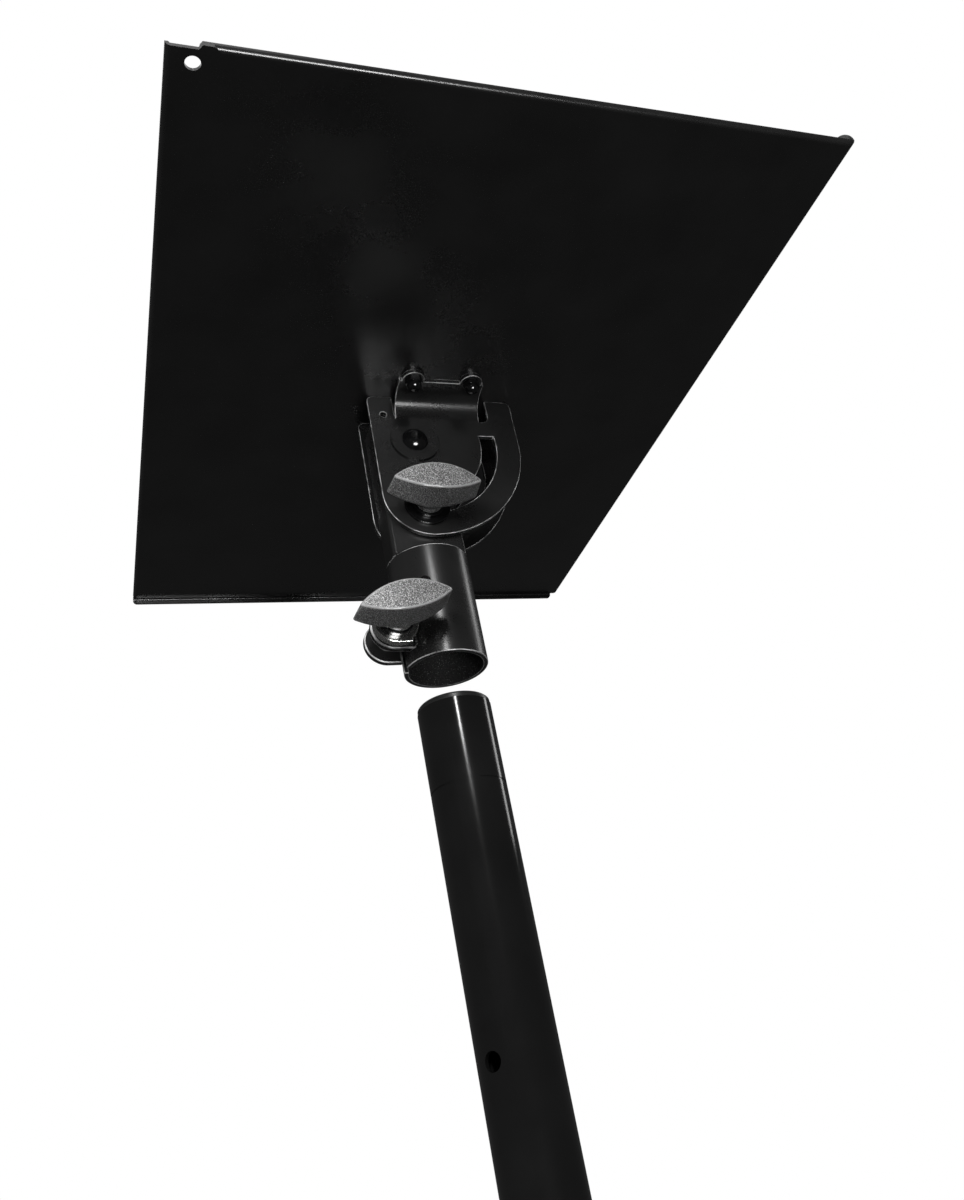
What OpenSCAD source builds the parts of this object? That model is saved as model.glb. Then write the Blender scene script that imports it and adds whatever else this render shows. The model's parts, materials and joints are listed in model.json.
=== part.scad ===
// Tilting tray head for a monitor or prompter, on a 35 mm support pole.
// Millimetres. The origin is the centre of the pole's lower end and +Z runs up the pole.
// +X points to the tray's device ledge and -Y to the side that carries both wing knobs.
// The head is drawn lifted clear of the pole, in line with it, as it is when it is being fitted.

/* [Pole] */
// Length of the pole
pole_len = 500; // [300:10:900]
// Outside diameter of the pole
pole_od = 35; // [35]
// Wall thickness of the pole
pole_wall = 2; // [1.5:0.5:3]
// Diameter of the locking-pin hole through the pole
pole_hole_d = 8; // [6:0.5:10]
// Distance of that hole below the top of the pole
pole_hole_drop = 155; // [80:5:250]
// Direction of that hole around the pole, in degrees from +X
pole_hole_turn = -147; // [-180:1:180]
// Distance of the insertion mark below the top of the pole
pole_mark_drop = 40; // [20:1:60]
// Gap between the pole's top and the socket's mouth at rest
lift_gap = 22; // [1:1:60]

/* [Socket] */
// Outside diameter of the socket tube
socket_od = 41; // [40:0.5:44]
// Inside diameter of the socket tube
socket_id = 36; // [35.6:0.1:36.4]
// Length of the socket tube
socket_len = 59; // [50:1:90]
// Width of the clamping slit
slit_w = 5; // [3:0.5:6]
// Height of the clamping slit above the mouth
slit_h = 40; // [30:1:44]
// Distance of the clamp bolt from the socket's axis
clamp_x = 26.5; // [26.5:0.5:28]
// Height of the clamp bolt above the mouth
clamp_h = 17; // [14:0.5:18]

/* [Neck] */
// Width of the neck, across the ears' length
neck_w = 38.4; // [34:0.2:40]
// Depth of the neck, between the ears
neck_d = 18; // [16:0.5:20]
// Wall thickness of the neck
neck_wall = 2.5; // [2:0.5:3]
// Gap between the neck's top and the tray
neck_gap = 14; // [13:0.5:16]

/* [Ears] */
// Sheet thickness of the two ears
ear_t = 2.5; // [2:0.5:3]
// Distance of each ear's outer face from the pole's axis plane
ear_y = 12.5; // [12.5:0.5:14]
// Distance of the straight rear edge behind the pole's axis
ear_back = 20.8; // [20:0.1:24]
// Distance of the tilt pivot in front of the pole's axis
pivot_x = 1.5; // [0:0.5:3]
// Distance of the tilt pivot below the tray
pivot_drop = 29; // [28:0.5:32]
// Outer radius of the ears around the pivot
ear_r = 58.7; // [56:0.1:62]
// Radius of the ears' lower rear corner
ear_corner_r = 24; // [18:1:28]
// Centre radius of the lock slot around the pivot
slot_r = 41; // [40:0.5:44]
// Width of the lock slot
slot_w = 8.6; // [8.6:0.1:9]
// Width of the notch that the foot is bent out of
notch_w = 52.7; // [50:0.1:56]
// Width of the foot
foot_w = 46.6; // [42:0.1:47]
// Spacing of the two screws in each foot
foot_pitch = 32; // [28:1:34]
// Distance of the notch's centre in front of the pole's axis
notch_x = 19.3; // [18:0.1:21]
// Distance of the foot's centre in front of the pole's axis
foot_x = 16.8; // [16.8:0.1:19]

/* [Tray] */
// Depth of the tray, from its rear edge to the ledge
tray_d = 300; // [240:5:360]
// Width of the tray
tray_w = 400; // [300:5:480]
// Distance of the tray's middle in front of the pole's axis
tray_offset = 17; // [0:1:30]
// Sheet thickness of the tray
tray_t = 1.5; // [1.5:0.1:1.6]
// Outer radius of the tray's folds
fold_r = 2.5; // [2.5]
// Height of the low lips along the rear edge and the knobs' side, over the underside
lip_h = 2.5; // [2.5:0.5:6]
// Height of the device ledge, over the underside
ledge_h = 13; // [12:0.5:20]
// Radius of the ledge's upper corners
ledge_end_r = 11; // [6:0.5:11]
// Depth of the down-turned flange along the other side, over the top face
flange_h = 4.5; // [4:0.5:8]
// Diameter of the hole in the tray's corner
tether_d = 6; // [5:0.5:8]

/* [Wing knobs] */
// Length of a wing
wing_l = 48; // [40:1:48]
// Height of a wing at its middle
wing_h = 16; // [14:1:18]
// Distance of a wing's face from the seat of its boss
wing_reach = 23.3; // [23:0.1:25]
// Drop of the crowned face towards the wing's tips
wing_crown = 3.4; // [1:0.1:4]
// Depth of a wing's straight sides
wing_d = 16; // [12:1:16]
// Depth of the taper behind them
wing_taper = 5; // [4:1:5]
// Turn of the tilt knob about its screw, in degrees
tilt_wing_turn = -2; // [-90:1:90]
// Turn of the clamp knob about its screw, in degrees
clamp_wing_turn = 10; // [-90:1:90]

/* [Hidden] */

$fn = 96;

// Colours
powder_black = [0.07, 0.07, 0.075];
plastic_grey = [0.24, 0.24, 0.24];
cap_black = [0.05, 0.05, 0.05];
zinc = [0.62, 0.62, 0.6];
black_oxide = [0.09, 0.09, 0.09];
nylon = [0.85, 0.85, 0.82];

// Small sizes that several pieces share
bolt_d = 8;                 // every M8 bolt's shank
running_d = bolt_d + 0.1;   // a hole that turns on a bolt
clear_d = bolt_d + 0.5;     // a hole that only lets a bolt through
skim = 0.1;                 // gap that keeps sliding faces apart
past = 1;                   // how far a cut runs past a face

// Heights
mouth_z = pole_len + lift_gap;
neck_bottom_z = mouth_z + socket_len;
pole_fit_drop = 98;         // how far the tray is above the socket tube's top
tray_z = neck_bottom_z + pole_fit_drop;
pivot_z = tray_z - pivot_drop;
lock_z = pivot_z - slot_r;
clamp_z = mouth_z + clamp_h;
disc_t = 3;

// Clamp stack along Y, from the rear lug to the knob's seat
lug_r = 11;
rear_lug_y = [slit_w / 2, slit_w / 2 + 3.5];
front_lug_y = [-12, -8];
clamp_plate_t = 4.2;
clamp_washer_t = [2.1, 2.6];
clamp_plate_y = [front_lug_y[0] - clamp_washer_t[0] - clamp_plate_t,
                 front_lug_y[0] - clamp_washer_t[0]];

// Pivot stack along Y
washer_t = 1;
pivot_washer_d = 26;
pivot_head_d = 14;
pivot_head_h = 4.4;
hex_key = 5;
nut_h = 6.5;
nut_af = 13;

// Lock stack along Y
lock_washer_d = [24, 17];
lock_washer_t = [1.5, 1.4];
knob_seat_y = ear_y + 2 * skim + lock_washer_t[0] + lock_washer_t[1];
clamp_seat_y = -clamp_plate_y[0] + clamp_washer_t[1];
insert_d = 11;
insert_len = 15.3;
boss_d = 14;
shank_reach = 14.4;         // how far a screw's shank stands out of its knob's seat

// Foot bend and fasteners
foot_bend_r = 12.2;
foot_flat = 4;
lobe_r = 6;
lobe_y = 4.9;
notch_corner = 4;
screw_d = 5;
screw_sink_d = 7.6;
sink_h = 1.2;
screw_reach = 4.5;          // how far a foot screw stands out below its foot

// -- helpers --------------------------------------------------------------------------------

// A cylinder along Y from y0 to y1 at a place in X and Z.
module rod_y(d, y0, y1, x, z) {
    translate([x, y1, z]) rotate([90, 0, 0]) cylinder(d = d, h = y1 - y0);
}

// A washer along Y.
module ring_y(d, hole, y0, y1, x, z) {
    difference() {
        rod_y(d, y0, y1, x, z);
        rod_y(hole, y0 - past, y1 + past, x, z);
    }
}

// A hexagonal prism along Y, measured across its flats; at turn 0 a corner points to +X.
module hex_y(af, y0, y1, x, z, turn = 0) {
    translate([x, y1, z]) rotate([90, turn, 0])
        cylinder(d = af / cos(30), h = y1 - y0, $fn = 6);
}

// A flat outline drawn in X and Z, made into a plate from y0 to y1.
module plate_xz(y0, y1) {
    translate([0, y1, 0]) rotate([90, 0, 0]) linear_extrude(y1 - y0) children();
}

// A rectangle with round corners, between two opposite corners.
module round_rect(low, high, r) {
    size = high - low;
    translate(low + [r, 0]) square([size.x - 2 * r, size.y]);
    translate(low + [0, r]) square([size.x, size.y - 2 * r]);
    for (x = [low.x + r, high.x - r], y = [low.y + r, high.y - r])
        translate([x, y]) circle(r);
}

// -- pole -----------------------------------------------------------------------------------

module pole_tube() color(powder_black) {
    mark_depth = 0.3;
    mark_w = 0.8;
    difference() {
        cylinder(d = pole_od, h = pole_len);
        translate([0, 0, -past])
            cylinder(d = pole_od - 2 * pole_wall, h = pole_len + 2 * past);
        translate([0, 0, pole_len - pole_hole_drop]) rotate([0, 90, pole_hole_turn])
            cylinder(d = pole_hole_d, h = pole_od + 2 * past, center = true);
        translate([0, 0, pole_len - pole_mark_drop]) difference() {
            cylinder(d = pole_od + past, h = mark_w);
            translate([0, 0, -past]) cylinder(d = pole_od - 2 * mark_depth, h = mark_w + 2 * past);
        }
    }
}

// A plug with a flange, its flange's outer face at z = 0 and its stem upwards.
module tube_plug(flange_t, edge) {
    stem_d = pole_od - 2 * pole_wall;
    stem_len = 18;
    stem_wall = 2.5;
    flange_d = pole_od - 0.6;
    rotate_extrude() polygon([
        [0, 0], [flange_d / 2 - edge, 0], [flange_d / 2, edge], [flange_d / 2, flange_t],
        [stem_d / 2, flange_t], [stem_d / 2, flange_t + stem_len],
        [stem_d / 2 - stem_wall, flange_t + stem_len], [stem_d / 2 - stem_wall, flange_t],
        [0, flange_t]]);
}

module pole_top_cap() color(cap_black) {
    cap_t = 3;
    translate([0, 0, pole_len + cap_t]) rotate([180, 0, 0]) tube_plug(cap_t, 1);
}

module pole_foot_plug() color(cap_black) {
    // The stem only: its closed end sits flush inside the pole's lower end.
    plug_d = pole_od - 2 * pole_wall;
    plug_h = 20;
    plug_t = 3;
    difference() {
        cylinder(d = plug_d, h = plug_h);
        translate([0, 0, plug_t]) cylinder(d = plug_d - 2 * plug_t, h = plug_h);
    }
}

// -- socket and clamp -----------------------------------------------------------------------

module socket_tube() color(powder_black) {
    difference() {
        translate([0, 0, mouth_z]) cylinder(d = socket_od, h = socket_len);
        translate([0, 0, mouth_z - past]) cylinder(d = socket_id, h = socket_len + 2 * past);
        translate([-socket_od, -slit_w / 2, mouth_z - past])
            cube([socket_od, slit_w, slit_h + past]);
        rivet_shank(past);
    }
}

module socket_top_disc() color(powder_black)
    translate([0, 0, neck_bottom_z - disc_t]) cylinder(d = socket_id - skim, h = disc_t);

// A clamp plate's outline: round about the clamp bolt, then square as far as x = end.
module clamp_outline(end) {
    translate([-clamp_x, clamp_z]) circle(lug_r);
    translate([-clamp_x, clamp_z - lug_r]) square([clamp_x + end, 2 * lug_r]);
}

// A clamp lug: a plate round the clamp bolt that reaches the socket's wall.
module clamp_lug(y_span) {
    difference() {
        plate_xz(y_span[0], y_span[1]) clamp_outline(-socket_id / 4);
        translate([0, 0, clamp_z - 2 * lug_r]) cylinder(d = socket_od, h = 4 * lug_r);
        rod_y(clear_d, y_span[0] - past, y_span[1] + past, -clamp_x, clamp_z);
    }
}

module clamp_lug_front() color(powder_black) clamp_lug(front_lug_y);
module clamp_lug_rear() color(powder_black) clamp_lug(rear_lug_y);

module clamp_plate() color(zinc) {
    plate_end = -19.5;
    difference() {
        plate_xz(clamp_plate_y[0], clamp_plate_y[1]) clamp_outline(plate_end);
        rod_y(clear_d, clamp_plate_y[0] - past, clamp_plate_y[1] + past, -clamp_x, clamp_z);
    }
}

module clamp_bolt() color(black_oxide) {
    head_y = rear_lug_y[1];
    rod_y(bolt_d, -clamp_seat_y - skim - shank_reach, head_y + past, -clamp_x, clamp_z);
    hex_y(nut_af, head_y, head_y + 5.3, -clamp_x, clamp_z, 30);
}

module clamp_washers() color(black_oxide)
    for (face = [clamp_plate_y[1] + clamp_washer_t[0], clamp_plate_y[0]]) {
        t = face == clamp_plate_y[0] ? clamp_washer_t[1] : clamp_washer_t[0];
        ring_y(16, clear_d, face - t, face, -clamp_x, clamp_z);
    }

// Places a rivet's parts along its own radius of the socket, with z = 0 on the axis.
module at_rivet() {
    rivet_drop = 20;
    rivet_turn = -116;
    translate([0, 0, neck_bottom_z - rivet_drop]) rotate([0, 90, rivet_turn]) children();
}

module rivet_shank(extra)
    at_rivet() translate([0, 0, socket_id / 2 - extra])
        cylinder(d = 3.2, h = (socket_od - socket_id) / 2 + 2 * extra);

module socket_rivet() color(black_oxide) {
    rivet_shank(0);
    difference() {
        at_rivet() translate([0, 0, socket_od / 2 - past]) cylinder(d1 = 6.6, d2 = 4, h = 2.1);
        translate([0, 0, mouth_z]) cylinder(d = socket_od, h = socket_len);
    }
}

// -- neck and its bolts ---------------------------------------------------------------------

module neck() color(powder_black) {
    neck_h = pole_fit_drop - neck_gap;
    corner = 2;
    half = [neck_w / 2, neck_d / 2];
    inner = half - [neck_wall, neck_wall];
    difference() {
        translate([0, 0, neck_bottom_z]) linear_extrude(neck_h) difference() {
            round_rect(-half, half, corner);
            square(2 * inner, center = true);
        }
        for (z = [pivot_z, lock_z])
            rod_y(clear_d, -neck_d, neck_d, pivot_x, z);
    }
}

module pivot_bolt() color(black_oxide) {
    seat = ear_y + skim + washer_t;
    socket_depth = 2.8;
    difference() {
        union() {
            rod_y(bolt_d, -seat, seat + nut_h + 1.5, pivot_x, pivot_z);
            // Button head: a low dome cut from a ball, with a flat crown.
            dome_r = (pivot_head_d * pivot_head_d / 4 + pivot_head_h * pivot_head_h)
                     / (2 * pivot_head_h);
            intersection() {
                translate([pivot_x, dome_r - pivot_head_h - seat, pivot_z]) sphere(dome_r);
                rod_y(pivot_head_d, -seat - pivot_head_h + 0.4, -seat, pivot_x, pivot_z);
            }
        }
        hex_y(hex_key, -seat - pivot_head_h - past, -seat - pivot_head_h + socket_depth,
              pivot_x, pivot_z);
    }
}

module pivot_nut() color(black_oxide) {
    seat = ear_y + skim + washer_t;
    difference() {
        hex_y(nut_af, seat, seat + nut_h, pivot_x, pivot_z);
        rod_y(bolt_d, seat - past, seat + nut_h + past, pivot_x, pivot_z);
    }
}

module pivot_washers() color(powder_black)
    for (side = [-1, 1]) scale([1, side, 1])
        ring_y(pivot_washer_d, clear_d, ear_y + skim, ear_y + skim + washer_t,
               pivot_x, pivot_z);

module friction_washers() color(nylon)
    for (side = [-1, 1], z = [pivot_z, lock_z]) scale([1, side, 1])
        ring_y(22, clear_d, neck_d / 2, ear_y - ear_t - skim, pivot_x, z);

module lock_bolt() color(black_oxide) {
    seat = ear_y + skim;
    head_d = 18;
    head_h = 4;
    cap_r = (head_d * head_d / 4 + head_h * head_h) / (2 * head_h);
    rod_y(bolt_d, -knob_seat_y - skim - shank_reach, seat + past, pivot_x, lock_z);
    intersection() {
        translate([pivot_x, seat + head_h - cap_r, lock_z]) sphere(cap_r);
        rod_y(head_d, seat, seat + head_h, pivot_x, lock_z);
    }
}

module lock_washers() color(black_oxide)
    for (i = [0, 1]) {
        y = -ear_y - skim - i * (lock_washer_t[0] + skim);
        ring_y(lock_washer_d[i], clear_d, y - lock_washer_t[i], y, pivot_x, lock_z);
    }

// -- wing knobs -----------------------------------------------------------------------------

// The wing's outline: where two equal circles overlap.
module lens(length, height) {
    r = (length * length + height * height) / (4 * height);
    intersection() {
        translate([0, r - height / 2]) circle(r);
        translate([0, height / 2 - r]) circle(r);
    }
}

// A wing knob, its face towards -Y, on a screw at a place in X and Z.
module wing(seat_y, x, z, turn) {
    face_y = -seat_y - wing_reach;
    straight_y = face_y + wing_d;
    taper_y = straight_y + wing_taper;
    crown_r = (wing_l * wing_l / 4 + wing_crown * wing_crown) / (2 * wing_crown);
    slice = 0.2;
    translate([x, 0, z]) rotate([0, -turn, 0]) difference() {
        union() {
            intersection() {
                plate_xz(face_y - past, straight_y) lens(wing_l, wing_h);
                translate([0, face_y + crown_r, 0])
                    cylinder(r = crown_r, h = 2 * wing_h, center = true, $fn = 180);
            }
            hull() {
                plate_xz(straight_y - slice, straight_y)
                    lens(wing_l, wing_h, $fn = 32);
                rod_y(boss_d, taper_y - slice, taper_y, 0, 0, $fn = 32);
            }
            rod_y(boss_d, taper_y - past, -seat_y, 0, 0);
        }
        rod_y(insert_d, -seat_y - insert_len, -seat_y + past, 0, 0);
    }
}

// A knob's threaded insert, drawn with a plain bore that turns on its screw.
module knob_insert(seat_y, x, z) {
    blind = 0.5;
    difference() {
        rod_y(insert_d, -seat_y - insert_len, -seat_y, x, z);
        rod_y(running_d, -seat_y - insert_len + blind, -seat_y + past, x, z);
    }
}

module tilt_knob_wing() color(plastic_grey)
    wing(knob_seat_y + skim, pivot_x, lock_z, tilt_wing_turn);
module tilt_knob_insert() color(zinc) knob_insert(knob_seat_y + skim, pivot_x, lock_z);
module clamp_knob_wing() color(plastic_grey)
    wing(clamp_seat_y + skim, -clamp_x, clamp_z, clamp_wing_turn);
module clamp_knob_insert() color(zinc) knob_insert(clamp_seat_y + skim, -clamp_x, clamp_z);

// -- ears -----------------------------------------------------------------------------------

// The lower rear corner's centre, inside the outer radius and tangent to it.
function corner_x() = ear_corner_r - ear_back;
function corner_drop() =
    sqrt(pow(ear_r - ear_corner_r, 2) - pow(corner_x() - pivot_x, 2));

// An ear's outline in X and Z, with the pivot at z = 0.
module ear_outline() {
    far = 2 * ear_r;
    top_r = 3.5;
    corner = [corner_x(), -corner_drop()];
    intersection() {
        round_rect([-ear_back, -pivot_drop], [pivot_x + ear_r, pivot_drop], top_r);
        translate([-far, 0]) square([2 * far, pivot_drop]);
    }
    translate([-ear_back, -corner_drop()]) square([ear_corner_r, corner_drop()]);
    translate(corner) circle(ear_corner_r);
    intersection() {
        translate([pivot_x, 0]) circle(ear_r);
        polygon([[pivot_x, 0], [pivot_x, 0] + 3 * (corner - [pivot_x, 0]),
                 [far, -far], [far, 0]]);
    }
}

// The lock slot around the pivot: round at the lower end, square at the other.
module lock_slot() {
    slot_start = -91.5;
    square_end = 4.8;
    far = 2 * slot_r;
    end = [cos(slot_start), sin(slot_start)];
    translate([pivot_x, 0]) {
        intersection() {
            difference() {
                circle(slot_r + slot_w / 2);
                circle(slot_r - slot_w / 2);
            }
            polygon([[0, 0], far * end, [far, -far], [far, square_end], [0, square_end]]);
        }
        translate(slot_r * end) circle(d = slot_w);
    }
}

// The front ear, from the tray's underside down, with its foot bent outwards.
module ear() {
    notch_h = foot_bend_r + ear_t;
    drain = [-13, pivot_drop - 12];
    drain_d = 3.6;
    left = foot_x - foot_w / 2;
    bend_y = -ear_y - foot_bend_r;
    translate([0, 0, pivot_z]) plate_xz(-ear_y, -ear_y + ear_t) difference() {
        ear_outline();
        lock_slot();
        translate([pivot_x, 0]) circle(d = running_d);
        translate(drain) circle(d = drain_d);
        round_rect([notch_x - notch_w / 2, pivot_drop - notch_h],
                   [notch_x + notch_w / 2, pivot_drop + 3 * notch_corner], notch_corner);
    }
    // The bend, a quarter turn about a line along X, rooted in the notch's bottom edge.
    translate([left, bend_y, tray_z - notch_h]) rotate([90, 0, 90])
        rotate_extrude(angle = 90) translate([foot_bend_r, 0]) square([ear_t, foot_w]);
    // A short root below the bend joins it to the ear.
    translate([left, -ear_y, tray_z - notch_h - past]) cube([foot_w, ear_t, past]);
    // The flat foot, with a round lobe at each screw.
    translate([0, 0, tray_z - ear_t]) linear_extrude(ear_t) difference() {
        union() {
            translate([left, bend_y - foot_flat]) square([foot_w, foot_flat]);
            for (x = foot_screw_x()) translate([x, bend_y - lobe_y]) circle(lobe_r);
        }
        for (x = foot_screw_x()) translate([x, bend_y - lobe_y]) circle(d = screw_d + 0.4);
        translate([left - foot_w, bend_y]) square([3 * foot_w, foot_bend_r]);
    }
}

function foot_screw_x() = [foot_x - foot_pitch / 2, foot_x + foot_pitch / 2];
function foot_screw_y() = ear_y + foot_bend_r + lobe_y;

module ear_front() color(powder_black) ear();
module ear_rear() color(powder_black) mirror([0, 1, 0]) ear();

// Puts a fastener at each of the four foot screws.
module at_foot_screws() {
    for (x = foot_screw_x(), side = [-1, 1])
        translate([x, side * foot_screw_y(), tray_z]) children();
}

module foot_screws() color(powder_black) at_foot_screws() {
    // Countersunk head, flush with the tray's top.
    translate([0, 0, tray_t - sink_h]) cylinder(d1 = screw_d, d2 = screw_sink_d, h = sink_h);
    translate([0, 0, -ear_t - screw_reach])
        cylinder(d = screw_d, h = ear_t + screw_reach + tray_t - sink_h);
}

module foot_nuts() color(powder_black) at_foot_screws() {
    // A dome nut under the foot.
    af = 8;
    hex_h = 3;
    dome_d = 7.6;
    translate([0, 0, -ear_t]) rotate([180, 0, 0]) difference() {
        union() {
            cylinder(d = af / cos(30), h = hex_h, $fn = 6);
            translate([0, 0, hex_h - 0.2]) intersection() {
                sphere(d = dome_d);
                cylinder(d = dome_d, h = dome_d);
            }
        }
        translate([0, 0, -past]) cylinder(d = screw_d, h = screw_reach + past);
    }
}

// -- tray -----------------------------------------------------------------------------------

// The form that the tray's up-turned edges wrap round, inset from their outer faces.
// It is round along its lower edges and runs on past the side that has no lip.
module tray_form(inset) {
    r = fold_r - inset;
    high = 2 * ledge_h;
    intersection() {
        translate([0, tray_w, 0]) rotate([90, 0, 0]) linear_extrude(2 * tray_w)
            round_rect([-tray_d / 2 + inset, inset], [tray_d / 2 - inset, high], r);
        translate([-tray_d, 0, 0]) rotate([90, 0, 90]) linear_extrude(2 * tray_d)
            round_rect([-tray_w / 2 + inset, inset], [tray_w, high], r);
    }
}

// One skin of sheet round that form, before it is cut to height.
module tray_shell() difference() {
    tray_form(0);
    tray_form(tray_t);
}

// The flange that is folded down, short of the ledge, with its lower corners rounded off.
module tray_flange() {
    stop = 5;
    corner_r = 2.5;
    translate([-tray_d / 2, tray_w / 2, tray_t]) intersection() {
        rotate([90, 0, 90]) linear_extrude(tray_d - stop) {
            translate([-fold_r, -fold_r]) intersection() {
                difference() {
                    circle(fold_r);
                    circle(fold_r - tray_t);
                }
                square(fold_r);
            }
            translate([-tray_t, -flange_h]) square([tray_t, flange_h - fold_r]);
        }
        rotate([90, 0, 0]) linear_extrude(2 * fold_r)
            round_rect([0, -flange_h], [tray_d - stop, 3 * corner_r], corner_r);
    }
}

// The side lip starts past a gap at the corner, and the rear lip ends at it.
lip_start = 13.4;
gap_d = 2;
gap_lean = 1.3;             // how far the side lip's end leans over the gap

module lip_gap() {
    translate([-tray_d / 2, -tray_w / 2, -past]) linear_extrude(lip_h + 2 * past)
        polygon([[-past, -past], [lip_start, -past], [lip_start, 0],
                 [lip_start - gap_lean, gap_d], [-past, gap_d]]);
}

// Flat web that carries the side lip's first few millimetres.
module lip_web() {
    web_l = [4, 7.5]; // its length at the edge and at the bend
    translate([-tray_d / 2, -tray_w / 2, 0]) linear_extrude(tray_t)
        polygon([[lip_start, 0], [lip_start + web_l[0], 0], [lip_start + web_l[1], fold_r],
                 [lip_start - gap_lean, fold_r], [lip_start - gap_lean, gap_d]]);
}

// The tray's floor with its rear lip, its lip on the knobs' side and the flange opposite.
module tray_plate() color(powder_black) translate([tray_offset, 0, tray_z]) {
    hole = [10.3, 7.8]; // the corner hole's distances from the rear and the side edge
    difference() {
        union() {
            intersection() {
                tray_shell();
                translate([-tray_d / 2, -tray_w / 2, 0])
                    cube([tray_d - fold_r, tray_w - fold_r, lip_h]);
            }
            lip_web();
            tray_flange();
        }
        lip_gap();
        translate([hole.x - tray_d / 2, hole.y - tray_w / 2, -past])
            cylinder(d = tether_d, h = tray_t + 2 * past);
        for (x = foot_screw_x(), side = [-1, 1])
            translate([x - tray_offset, side * foot_screw_y(), 0]) {
                translate([0, 0, -past]) cylinder(d = screw_d, h = tray_t + 2 * past);
                translate([0, 0, tray_t - sink_h])
                    cylinder(d1 = screw_d, d2 = screw_sink_d, h = sink_h);
            }
    }
}

// The device ledge with its bend. It is one sheet with the floor, drawn as a part of its own.
module tray_ledge() color(powder_black) translate([tray_offset, 0, tray_z]) intersection() {
    tray_shell();
    translate([tray_d / 2 - fold_r, 0, 0]) rotate([90, 0, 90]) linear_extrude(fold_r)
        round_rect([-tray_w / 2, -ledge_h], [tray_w / 2 - fold_r, ledge_h], ledge_end_r);
}

pole_tube();
pole_top_cap();
pole_foot_plug();
socket_tube();
socket_top_disc();
neck();
clamp_lug_front();
clamp_plate();
clamp_lug_rear();
clamp_bolt();
clamp_washers();
socket_rivet();
pivot_bolt();
pivot_nut();
pivot_washers();
friction_washers();
lock_bolt();
lock_washers();
tilt_knob_wing();
tilt_knob_insert();
clamp_knob_wing();
clamp_knob_insert();
tray_plate();
tray_ledge();
ear_front();
ear_rear();
foot_screws();
foot_nuts();
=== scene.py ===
"""Looks of the tilting tray head and its pole: black powder-coated steel, grained plastic
wing knobs and black fasteners, on a pale floor under soft studio light."""

import json
import math

import bmesh
import bpy
from mathutils import Matrix, Vector


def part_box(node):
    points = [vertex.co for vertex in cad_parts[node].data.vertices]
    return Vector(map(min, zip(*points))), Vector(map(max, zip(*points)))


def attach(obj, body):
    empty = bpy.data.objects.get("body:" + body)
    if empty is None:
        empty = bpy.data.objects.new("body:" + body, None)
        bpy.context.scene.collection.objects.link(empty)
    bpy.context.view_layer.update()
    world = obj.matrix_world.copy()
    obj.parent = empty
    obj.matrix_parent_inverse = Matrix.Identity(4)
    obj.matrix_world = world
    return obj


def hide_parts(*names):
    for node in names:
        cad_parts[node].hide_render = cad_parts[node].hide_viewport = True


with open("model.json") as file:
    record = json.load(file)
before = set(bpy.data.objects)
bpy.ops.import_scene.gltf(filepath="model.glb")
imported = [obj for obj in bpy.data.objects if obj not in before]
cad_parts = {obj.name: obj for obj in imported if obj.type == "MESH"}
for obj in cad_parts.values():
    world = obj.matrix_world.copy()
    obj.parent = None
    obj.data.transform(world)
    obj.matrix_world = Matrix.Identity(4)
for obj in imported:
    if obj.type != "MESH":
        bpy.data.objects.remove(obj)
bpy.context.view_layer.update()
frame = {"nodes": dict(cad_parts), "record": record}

MM = 0.001

# The wing knobs, as in the CAD model: sizes, and turns in degrees
WING_LENGTH = 48 * MM
WING_HEIGHT = 16 * MM
WING_CROWN = 3.4 * MM
WING_STRAIGHT = 16 * MM
WING_TAPER = 5 * MM
BOSS_R = 7 * MM
TILT_WING_TURN = -2
CLAMP_WING_TURN = 10

# What the moulded wings add: a draft towards the face, round tips and round face edges
WING_FACE_SHARE = 46 / 48
WING_TIP_R = 1.1 * MM
WING_EDGE_R = 1.0 * MM
FACE_SHRINKS = (0.2, 0.4, 0.6, 0.8, 0.94)
TIP_STEPS = 6
ARC_STEPS = 28
EDGE_STEPS = 5
SIDE_STEPS = 8
TAPER_STEPS = 8

# Radius, in millimetres, of the rounds that each CAD node's sharp edges get
EDGE_RADIUS = {
    "tray_plate": 0.3, "tray_ledge": 0.3, "ear_front": 0.3, "ear_rear": 0.3, "neck": 0.5,
    "socket_tube": 0.45, "clamp_lug_front": 0.8, "clamp_plate": 1.4,
    "clamp_lug_rear": 0.6, "clamp_washers": 0.25, "pivot_washers": 0.2, "lock_washers": 0.3,
    "pole_tube": 0.15, "pole_top_cap": 0.3, "pivot_nut": 0.3, "clamp_bolt": 0.3,
    "pivot_bolt": 0.12, "foot_nuts": 0.25, "socket_rivet": 0.2, "lock_bolt": 0.12,
}
ROUND_STEPS = 3

# Handled parts, whose edge rounds take the thin worn coat, painted light grey as a highlight line
WORN_AND_HIGHLIGHTED_NODES = {"ear_front", "ear_rear", "neck", "socket_tube", "clamp_lug_front", "clamp_lug_rear"}


# -- places taken from the frame -------------------------------------------------------------


def centre(node):
    """The middle of a CAD node's box."""
    low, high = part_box(node)
    return (Vector(low) + Vector(high)) / 2


MOUTH = Vector((0, 0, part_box("socket_tube")[0][2]))
TRAY_SEAM_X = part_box("tray_ledge")[0][0]
HEAD = centre("neck")


# -- camera ----------------------------------------------------------------------------------

# Place in metres, turns in degrees, and lens and sensor in millimetres
CAMERA_FROM_MOUTH = Vector((-0.1633, -0.4558, -0.2247))
CAMERA_HEADING = -22.5
CAMERA_PITCH = 28.05
CAMERA_ROLL = -11.9
CAMERA_LENS = 33.3
CAMERA_SENSOR = 36


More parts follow.
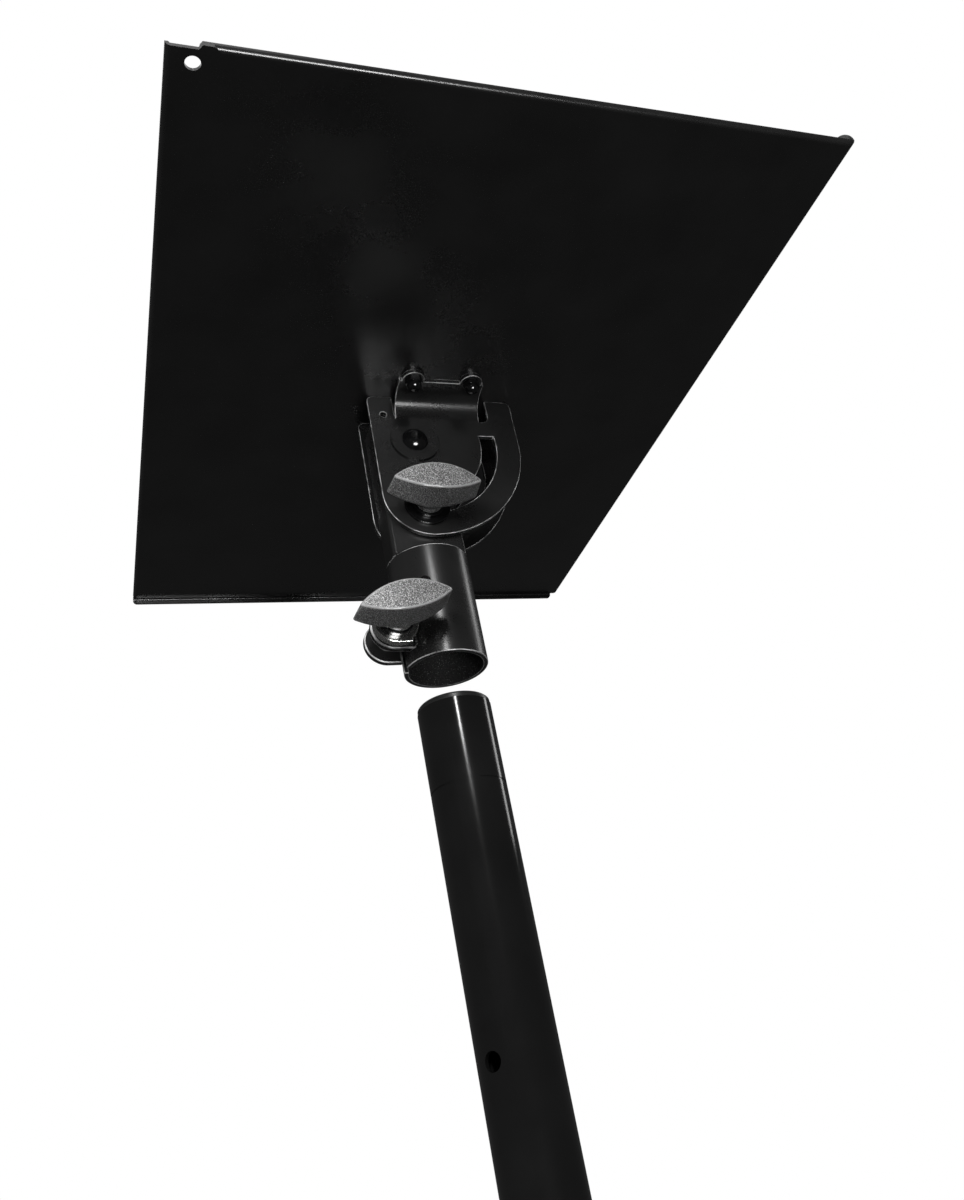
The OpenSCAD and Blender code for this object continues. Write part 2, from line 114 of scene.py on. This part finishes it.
def make_camera():
    """Looks up at the head from below the socket's mouth."""
    camera = bpy.data.objects.new("camera", bpy.data.cameras.new("camera"))
    camera.data.lens = CAMERA_LENS
    camera.data.sensor_width = CAMERA_SENSOR
    camera.data.clip_start = 0.01
    turn = Matrix.Rotation(math.radians(CAMERA_HEADING), 4, "Z")
    tilt = Matrix.Rotation(math.radians(90 + CAMERA_PITCH), 4, "X")
    roll = Matrix.Rotation(math.radians(CAMERA_ROLL), 4, "Z")
    camera.matrix_world = Matrix.Translation(MOUTH + CAMERA_FROM_MOUTH) @ turn @ tilt @ roll
    bpy.context.collection.objects.link(camera)
    bpy.context.scene.camera = camera


# -- materials -------------------------------------------------------------------------------


class Shader:
    """A material under construction: one Principled shader and short calls that feed it."""

    def __init__(self, name, **sockets):
        self.material = bpy.data.materials.new(name)
        self.material.use_nodes = True
        self.tree = self.material.node_tree
        self.surface = self.tree.nodes["Principled BSDF"]
        for socket, value in sockets.items():
            self.surface.inputs[socket.replace("_", " ")].default_value = value
        self.place = self.tree.nodes.new("ShaderNodeTexCoord").outputs["Object"]

    def noise(self, pitch, detail=2.0, stretch=(1, 1, 1)):
        """Noise whose features are about pitch metres across."""
        node = self.tree.nodes.new("ShaderNodeTexNoise")
        node.inputs["Scale"].default_value = 1 / pitch
        node.inputs["Detail"].default_value = detail
        mapping = self.tree.nodes.new("ShaderNodeMapping")
        mapping.inputs["Scale"].default_value = stretch
        self.tree.links.new(self.place, mapping.inputs["Vector"])
        self.tree.links.new(mapping.outputs["Vector"], node.inputs["Vector"])
        return node.outputs["Fac"]

    def grains(self, pitch):
        """Distance to the nearest of scattered points about pitch metres apart."""
        node = self.tree.nodes.new("ShaderNodeTexVoronoi")
        node.inputs["Scale"].default_value = 1 / pitch
        self.tree.links.new(self.place, node.inputs["Vector"])
        return node.outputs["Distance"]

    def ramp(self, value, stops):
        """A colour ramp over a value; stops are (position, grey or colour)."""
        node = self.tree.nodes.new("ShaderNodeValToRGB")
        ramp = node.color_ramp
        while len(ramp.elements) < len(stops):
            ramp.elements.new(0.5)
        for element, (position, colour) in zip(ramp.elements, stops):
            element.position = position
            grey = isinstance(colour, (int, float))
            element.color = (colour, colour, colour, 1) if grey else (*colour, 1)
        self.tree.links.new(value, node.inputs["Fac"])
        return node.outputs["Color"]

    def add(self, a, b, weight):
        """a plus weight times b."""
        node = self.tree.nodes.new("ShaderNodeMath")
        node.operation = "MULTIPLY_ADD"
        self.tree.links.new(b, node.inputs[0])
        node.inputs[1].default_value = weight
        self.tree.links.new(a, node.inputs[2])
        return node.outputs["Value"]

    def feed(self, socket, value):
        """Links a value or colour to a socket of the surface."""
        self.tree.links.new(value, self.surface.inputs[socket])

    def bump(self, height, depth):
        """Relief of about depth metres from a height value."""
        node = self.tree.nodes.new("ShaderNodeBump")
        node.inputs["Distance"].default_value = depth
        self.tree.links.new(height, node.inputs["Height"])
        self.tree.links.new(node.outputs["Normal"], self.surface.inputs["Normal"])


def powder_coat(name, darkest, lightest, smooth, rough, peel):
    """Powder coat: an orange-peel skin over steel, with faint cloudy handling marks."""
    shader = Shader(name, Specular_IOR_Level=0.6)
    clouds = shader.noise(38 * MM, detail=4)
    fine = shader.noise(0.9 * MM, detail=3)
    shader.feed("Base Color", shader.ramp(clouds, [(0.3, darkest), (0.7, lightest)]))
    shader.feed("Roughness", shader.ramp(shader.add(clouds, fine, 0.3),
                                         [(0.35, smooth), (0.95, rough)]))
    shader.bump(fine, peel)
    return shader.material


def edge_wear_and_highlight(name):
    """Powder coat pulled thin over a handled edge: a strong reflection, and grey patches up to
    light grey that are partly the thin worn coat and partly a painted highlight line."""
    shader = Shader(name, Specular_IOR_Level=1.0, Metallic=0.2)
    wear_and_highlight = shader.noise(7 * MM, detail=5)
    # The light grey end of this ramp is a painted highlight along the edges, over the worn coat's
    # grey.
    shader.feed("Base Color", shader.ramp(wear_and_highlight, [(0.35, 0.08), (0.6, 0.6)]))
    shader.feed("Roughness", shader.ramp(wear_and_highlight, [(0.3, 0.45), (0.7, 0.3)]))
    return shader.material


def rough_bore(name):
    """Thin overspray inside the socket: dark and gritty, with pale specks that are painted
    glints.
    """
    shader = Shader(name, Specular_IOR_Level=0.5)
    grit_and_glints = shader.grains(0.8 * MM)
    # The near-white specks of this ramp are painted glints.
    shader.feed("Base Color", shader.ramp(grit_and_glints, [(0.06, 0.9), (0.14, 0.02), (1.0, 0.004)]))
    shader.feed("Roughness", shader.ramp(grit_and_glints, [(0.1, 0.25), (0.6, 0.7)]))
    shader.bump(shader.add(shader.noise(0.7 * MM, detail=4), grit_and_glints, 0.6), 0.25 * MM)
    return shader.material


def grained_plastic(name):
    """Moulded plastic with a spark-eroded grain, mottled grey and black."""
    shader = Shader(name, Specular_IOR_Level=0.7)
    grain = shader.add(shader.noise(0.38 * MM, detail=5), shader.grains(0.5 * MM), 0.35)
    shader.feed("Base Color", shader.ramp(grain, [(0.5, 0.012), (0.68, 0.055), (0.82, 0.42)]))
    shader.feed("Roughness", shader.ramp(grain, [(0.4, 0.3), (0.9, 0.5)]))
    shader.bump(grain, 0.06 * MM)
    return shader.material


def smooth_plastic(name, darkest, lightest, roughness):
    """Turned or moulded plastic with a fine skin."""
    shader = Shader(name, Specular_IOR_Level=0.5)
    skin = shader.noise(0.4 * MM, detail=3)
    shader.feed("Base Color", shader.ramp(skin, [(0.3, darkest), (0.7, lightest)]))
    shader.feed("Roughness", shader.ramp(skin, [(0.2, roughness * 0.8), (0.8, roughness * 1.2)]))
    shader.bump(skin, 0.02 * MM)
    return shader.material


def plated_steel(name, colour, metallic, roughness):
    """Turned steel: fine tool rings show as stretched noise in the gloss."""
    shader = Shader(name, Metallic=metallic)
    rings = shader.noise(0.5 * MM, detail=3, stretch=(1, 6, 1))
    worn = [(0.3, tuple(0.7 * c for c in colour)), (0.7, colour)]
    shader.feed("Base Color", shader.ramp(rings, worn))
    shader.feed("Roughness", shader.ramp(rings, [(0.2, roughness * 0.7), (0.8, roughness * 1.4)]))
    shader.bump(rings, 0.01 * MM)
    return shader.material


MATERIALS = {
    "head_paint": powder_coat("head_paint", 0.006, 0.011, 0.22, 0.34, 0.012 * MM),
    "pole_paint": powder_coat("pole_paint", 0.003, 0.005, 0.1, 0.17, 0.006 * MM),
    "black_fastener": plated_steel("black_fastener", (0.004, 0.004, 0.0042), 0.0, 0.17),
    "zinc": plated_steel("zinc", (0.8, 0.8, 0.78), 1.0, 0.22),
    "knob_plastic": grained_plastic("knob_plastic"),
    "cap_plastic": smooth_plastic("cap_plastic", 0.006, 0.012, 0.3),
    "nylon": smooth_plastic("nylon", 0.55, 0.65, 0.4),
}
BORE_MATERIAL = rough_bore("socket_bore")
# The edge rounds' material: thin worn coat with a painted highlight line.
EDGE_WEAR_AND_HIGHLIGHT = edge_wear_and_highlight("edge_wear_and_highlight")
# Lighter plastic for the rounds along the wing faces' edges: a painted highlight line.
KNOB_EDGE_HIGHLIGHT = smooth_plastic("knob_edge_painted_highlight", 0.18, 0.34, 0.18)

SLOTS = {entry["node"]: entry["material_slot"] for entry in frame["record"]["subparts"]}
BODY_OF = {node: body for body, nodes in frame["record"]["behaviour"]["bodies"].items()
           for node in nodes}


def paint_cad_nodes():
    """Gives every CAD node its record slot's material."""
    for name, node in frame["nodes"].items():
        node.data.materials.clear()
        node.data.materials.append(MATERIALS[SLOTS[name]])


# -- pieces ----------------------------------------------------------------------------------


def add_piece(name, mesh, like, replaced=()):
    """Makes a mesh a piece that rides on, and is finished like, a CAD node."""
    piece = bpy.data.objects.new(name, mesh)
    bpy.context.collection.objects.link(piece)
    if not mesh.materials:
        mesh.materials.append(MATERIALS[SLOTS[like]])
    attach(piece, BODY_OF[like])
    if replaced:
        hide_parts(*replaced)
    return piece


def finish_shading(mesh, angle):
    """Smooth faces, with edges sharper than an angle in degrees left crisp."""
    mesh.shade_smooth()
    mesh.set_sharp_from_angle(angle=math.radians(angle))


def soften(node, radius):
    """Stands in for a CAD node with the same solid, its sharp edges rounded. The tray's seam
    stays sharp. Worn parts get on their rounds, at full radius, the thin worn coat painted
    light grey as a highlight line. On the others the radius is limited so that no two rounds
    overlap."""
    same_point = 0.002 * MM
    same_plane = math.radians(0.6)
    sharp_from = math.radians(30)
    at_seam = 0.01 * MM
    large_face_weight = 90
    mesh = bpy.data.meshes.new(node + "_rounded")
    form = bmesh.new()
    form.from_mesh(frame["nodes"][node].data)
    bmesh.ops.remove_doubles(form, verts=form.verts, dist=same_point)
    bmesh.ops.dissolve_limit(form, angle_limit=same_plane, verts=form.verts,
                             edges=form.edges, delimit=set())
    sharp = [edge for edge in form.edges
             if edge.is_manifold and edge.calc_face_angle() > sharp_from
             and not all(abs(v.co.x - TRAY_SEAM_X) < at_seam for v in edge.verts)]
    # These nodes' rounds take the worn coat with its painted highlight line.
    worn = node in WORN_AND_HIGHLIGHTED_NODES
    bmesh.ops.bevel(form, geom=sharp, offset=radius, segments=ROUND_STEPS, profile=0.5,
                    affect="EDGES", clamp_overlap=not worn, material=1 if worn else -1)
    form.to_mesh(mesh)
    form.free()
    mesh.materials.append(MATERIALS[SLOTS[node]])
    # Second material, on the rounds: worn coat painted light grey as a highlight.
    if worn:
        mesh.materials.append(EDGE_WEAR_AND_HIGHLIGHT)
    finish_shading(mesh, angle=40)
    piece = add_piece(node + "_rounded", mesh, node, [node])
    smooth = piece.modifiers.new("weigh flat faces", "WEIGHTED_NORMAL")
    smooth.keep_sharp = True
    smooth.weight = large_face_weight
    return piece


def lens_outline(length, height, tip_r):
    """(point, outward normal) around the overlap of two equal circles, tips rounded."""
    r = (length * length + height * height) / (4 * height)
    drop = r - height / 2
    tip_x = math.sqrt((r - tip_r) ** 2 - drop ** 2)
    lean = math.atan2(drop, tip_x)
    outline = []

    def arc(cx, cz, radius, start, end, steps):
        for i in range(steps):
            a = start + (end - start) * i / steps
            normal = Vector((math.cos(a), math.sin(a)))
            outline.append((Vector((cx, cz)) + radius * normal, normal))

    arc(tip_x, 0, tip_r, -lean, lean, TIP_STEPS)
    arc(0, -drop, r, lean, math.pi - lean, ARC_STEPS)
    arc(-tip_x, 0, tip_r, math.pi - lean, math.pi + lean, TIP_STEPS)
    arc(0, drop, r, math.pi + lean, 2 * math.pi - lean, ARC_STEPS)
    return outline


def wing_rings(face_y, seat_y):
    """Cross-sections of a wing knob from face to seat, each a list of (x, y, z)."""
    outline = lens_outline(WING_LENGTH, WING_HEIGHT, WING_TIP_R)
    boss_start = 0.2 * MM
    seat_gap = 0.3 * MM
    straight_end = face_y + WING_STRAIGHT
    taper_end = straight_end + WING_TAPER
    rings = []

    def ring(y, depth, inset=0.0, shrink=1.0, to_boss=0.0):
        """One section, y being its place at the wing's middle. Its outline grows and its bow
        flattens with depth, which runs from 0 at the face to 1 where the straight sides end."""
        share = WING_FACE_SHARE + (1 - WING_FACE_SHARE) * depth
        points = []
        for point, normal in outline:
            p = shrink * (share * point - inset * normal)
            p = p.lerp(BOSS_R * point.normalized(), to_boss)
            bow = WING_CROWN * (2 * p.x / WING_LENGTH) ** 2 * (1 - depth)
            points.append((p.x, y + bow, p.y))
        rings.append(points)

    for shrink in FACE_SHRINKS:
        ring(face_y, 0, WING_EDGE_R, shrink)
    for i in range(EDGE_STEPS + 1):
        a = math.radians(90 * i / EDGE_STEPS)
        ring(face_y + WING_EDGE_R * (1 - math.cos(a)), 0, WING_EDGE_R * (1 - math.sin(a)))
    for i in range(1, SIDE_STEPS + 1):
        t = i / SIDE_STEPS
        ring(face_y + WING_EDGE_R + (WING_STRAIGHT - WING_EDGE_R) * t, t)
    for i in range(1, TAPER_STEPS + 1):
        t = i / TAPER_STEPS
        ring(straight_end + WING_TAPER * t, 1, to_boss=t * t * (3 - 2 * t))
    for y in (taper_end + boss_start, seat_y - seat_gap):
        ring(y, 1, to_boss=1.0)
    return rings


def loft(rings, face_centre, highlight_bands):
    """A closed mesh through rings of equal length, with a point at the first end. The bands
    numbered in the last argument take the second material, a painted highlight."""
    form = bmesh.new()
    loops = [[form.verts.new(p) for p in ring] for ring in rings]
    count = len(rings[0])
    tip = form.verts.new(face_centre)
    for i in range(count):
        j = (i + 1) % count
        form.faces.new((tip, loops[0][i], loops[0][j]))
        for k, (a, b) in enumerate(zip(loops, loops[1:])):
            face = form.faces.new((a[i], b[i], b[j], a[j]))
            # The listed bands get the lighter plastic of the painted highlight.
            face.material_index = 1 if k in highlight_bands else 0
    form.faces.new(loops[-1])
    bmesh.ops.recalc_face_normals(form, faces=form.faces)
    return form


def make_wing(node, insert, turn):
    """The moulded wing of a knob, in place of the CAD's plain one."""
    face_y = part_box(node)[0][1]
    seat_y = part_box(node)[1][1]
    edge_bands = range(len(FACE_SHRINKS), len(FACE_SHRINKS) + EDGE_STEPS)
    form = loft(wing_rings(face_y, seat_y), (0, face_y, 0), edge_bands)
    place = centre(insert)
    move = (Matrix.Translation((place.x, 0, place.z))
            @ Matrix.Rotation(math.radians(-turn), 4, "Y"))
    bmesh.ops.transform(form, matrix=move, verts=form.verts)
    mesh = bpy.data.meshes.new(node + "_moulded")
    form.to_mesh(mesh)
    form.free()
    mesh.materials.append(MATERIALS[SLOTS[node]])
    # Second material, on the face's edge rounds: the lighter plastic of a painted highlight.
    mesh.materials.append(KNOB_EDGE_HIGHLIGHT)
    finish_shading(mesh, angle=32)
    return add_piece(node + "_moulded", mesh, node, [node])


def weld_bead(name, start, end, radius, like):
    """A straight weld run between two points: overlapping ripples, a little uneven. Its size,
    in shares of the radius, is a base plus a rise on each ripple and a small wobble."""
    ripple = 1.5 * MM
    steps_per_ripple = 6
    sides = 10
    base = 0.82
    rise = 0.22
    wobble = 0.05
    wobble_step = 1.7
    steps = round((end - start).length / ripple * steps_per_ripple)
    along = (end - start).normalized()
    side = along.orthogonal().normalized()
    other = along.cross(side)
    form = bmesh.new()
    rings = []
    for i in range(steps + 1):
        wave = (i % steps_per_ripple) / steps_per_ripple
        size = radius * (base + rise * math.sin(math.pi * wave)
                         + wobble * math.sin(wobble_step * i))
        point = start.lerp(end, i / steps)
        rings.append([form.verts.new(point + size * (math.cos(a) * side + math.sin(a) * other))
                      for a in (2 * math.pi * k / sides for k in range(sides))])
    for near, far in zip(rings, rings[1:]):
        for k in range(sides):
            m = (k + 1) % sides
            form.faces.new((near[k], far[k], far[m], near[m]))
    form.faces.new(rings[0])
    form.faces.new(rings[-1])
    bmesh.ops.recalc_face_normals(form, faces=form.faces)
    mesh = bpy.data.meshes.new(name)
    form.to_mesh(mesh)
    form.free()
    mesh.shade_smooth()
    return add_piece(name, mesh, like)


def line_bore(socket):
    """Gives the faces inside the socket's bore, of 18 mm radius, the gritty material with its
    painted glints.
    """
    within_r = 18.2 * MM
    socket.data.materials.append(BORE_MATERIAL)
    bore_slot = len(socket.data.materials) - 1
    for face in socket.data.polygons:
        inward = face.center.xy.dot(face.normal.xy) < 0
        if inward and face.center.xy.length < within_r:
            face.material_index = bore_slot


def make_welds():
    """Weld runs where the neck meets the socket and where each lug meets the tube."""
    neck_bead_r = 1.3 * MM
    lug_bead_r = 1.1 * MM
    short = 1 * MM
    low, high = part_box("neck")
    z = low[2]
    for side, y in (("front", low[1]), ("rear", high[1])):
        start = Vector((low[0] + short, y, z))
        end = Vector((high[0] - short, y, z))
        weld_bead("neck_weld_" + side, start, end, neck_bead_r, "neck")
    tube_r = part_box("socket_tube")[1][0]
    for lug in ("clamp_lug_front", "clamp_lug_rear"):
        low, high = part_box(lug)
        y = low[1] if lug == "clamp_lug_front" else high[1]
        x = -math.sqrt(tube_r ** 2 - y ** 2)
        start = Vector((x, y, low[2] + short))
        end = Vector((x, y, high[2] - short))
        weld_bead(lug + "_weld", start, end, lug_bead_r, lug)


# -- stage -----------------------------------------------------------------------------------

# Strength of the white background to the camera, and to every surface
BACKDROP = 1.0
AMBIENT = 0.06


def make_world():
    """White to the camera, and dim where surfaces see it, so that black steel stays black."""
    world = bpy.data.worlds.new("studio")
    bpy.context.scene.world = world
    world.use_nodes = True
    tree = world.node_tree
    background = tree.nodes["Background"]
    background.inputs["Color"].default_value = (1, 1, 1, 1)
    seen = tree.nodes.new("ShaderNodeLightPath").outputs["Is Camera Ray"]
    strength = tree.nodes.new("ShaderNodeMapRange")
    strength.inputs["To Min"].default_value = AMBIENT
    strength.inputs["To Max"].default_value = BACKDROP
    tree.links.new(seen, strength.inputs["Value"])
    tree.links.new(strength.outputs["Result"], background.inputs["Strength"])


def make_floor():
    """A pale floor that the camera sees and the object's surfaces don't."""
    size = 6
    form = bmesh.new()
    bmesh.ops.create_grid(form, x_segments=1, y_segments=1, size=size / 2)
    mesh = bpy.data.meshes.new("floor")
    form.to_mesh(mesh)
    form.free()
    shader = Shader("floor", Roughness=0.7, Specular_IOR_Level=0.2)
    clouds = shader.noise(400 * MM, detail=3)
    shader.feed("Base Color", shader.ramp(clouds, [(0, 0.78), (1, 0.84)]))
    mesh.materials.append(shader.material)
    floor = bpy.data.objects.new("floor", mesh)
    bpy.context.collection.objects.link(floor)
    floor.visible_glossy = False
    floor.visible_diffuse = False


def soft_light(name, offset, width, height, power, mirrored=True):
    """A rectangular softbox at an offset from the head, facing it. One that isn't mirrored
    leaves no highlight of its own on glossy paint."""
    data = bpy.data.lights.new(name, "AREA")
    data.shape = "RECTANGLE"
    data.size = width
    data.size_y = height
    data.energy = power
    light = bpy.data.objects.new(name, data)
    light.location = HEAD + Vector(offset)
    light.rotation_euler = (-Vector(offset)).to_track_quat("-Z", "Y").to_euler()
    light.visible_camera = False
    light.visible_glossy = mirrored
    bpy.context.collection.objects.link(light)


def make_lights():
    """A narrow key and a low panel for the highlights, a fill that leaves none, a rim and an
    overhead sheet. Offsets and sizes are in metres, power in watts."""
    soft_light("key_strip", (-0.25, -1.5, 0.9), 0.14, 0.85, 14)
    soft_light("low_panel", (0.0, -0.85, -0.68), 0.5, 0.24, 20)
    soft_light("front_fill", (-0.9, -1.3, 0.2), 1.0, 0.6, 34, mirrored=False)
    soft_light("right_rim", (1.5, 0.25, 0.75), 0.3, 1.0, 3)
    soft_light("overhead", (0.0, 0.0, 1.7), 2.4, 2.4, 30)


# -- build -----------------------------------------------------------------------------------

bpy.context.scene.view_settings.view_transform = "Standard"
make_camera()
make_world()
make_lights()
make_floor()
paint_cad_nodes()
rounded = {node: soften(node, radius * MM) for node, radius in EDGE_RADIUS.items()}
line_bore(rounded["socket_tube"])
make_wing("tilt_knob_wing", "tilt_knob_insert", TILT_WING_TURN)
make_wing("clamp_knob_wing", "clamp_knob_insert", CLAMP_WING_TURN)
make_welds()
